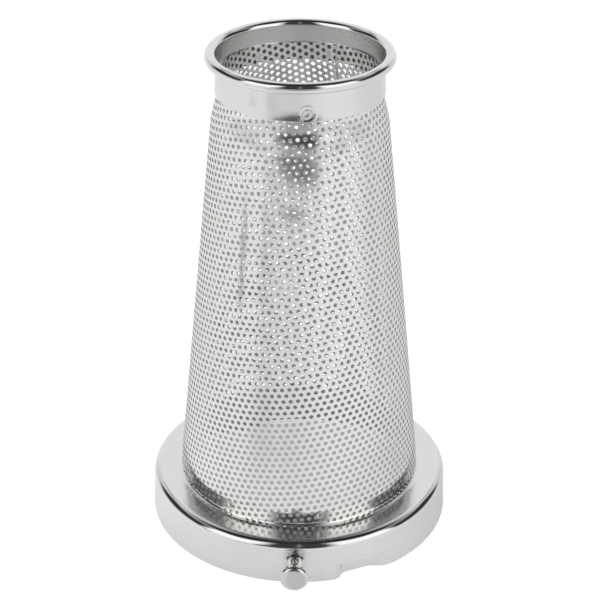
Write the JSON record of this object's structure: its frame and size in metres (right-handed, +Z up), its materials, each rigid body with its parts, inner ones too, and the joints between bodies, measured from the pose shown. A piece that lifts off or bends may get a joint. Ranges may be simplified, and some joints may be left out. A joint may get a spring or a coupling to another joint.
{
  "type": "perforated strainer cone",
  "caption": "Conical perforated stainless strainer screen with a bayonet base flange, a grip knob on the skirt and a rolled outlet collar.",
  "frame": {"origin": "centre of the skirt's rim circle, in the plane the part stands on", "axes": "+Z up along the cone's axis from the base flange to the outlet collar, -Y towards the grip knob, which stands 1.5 degrees to its left, +X to the right seen from the knob's side"},
  "size_m": [0.1064, 0.1163, 0.1748],
  "materials": {
    "flange_steel": "polished plate and shoulder, satin skirt",
    "screen_steel": "bright rolled perforated sheet",
    "collar_steel": "polished",
    "knob_steel": "turned, polished waist, satin head",
    "weld_steel": "dull weld metal"
  },
  "bodies": {
    "root": {"base_flange": "flange_steel", "screen_cone": "screen_steel", "outlet_collar": "collar_steel", "grip_knob": "knob_steel", "screen_seam_weld": "weld_steel", "collar_spot_welds": "weld_steel", "neck_spot_welds": "weld_steel"}
  },
  "joints": []
}
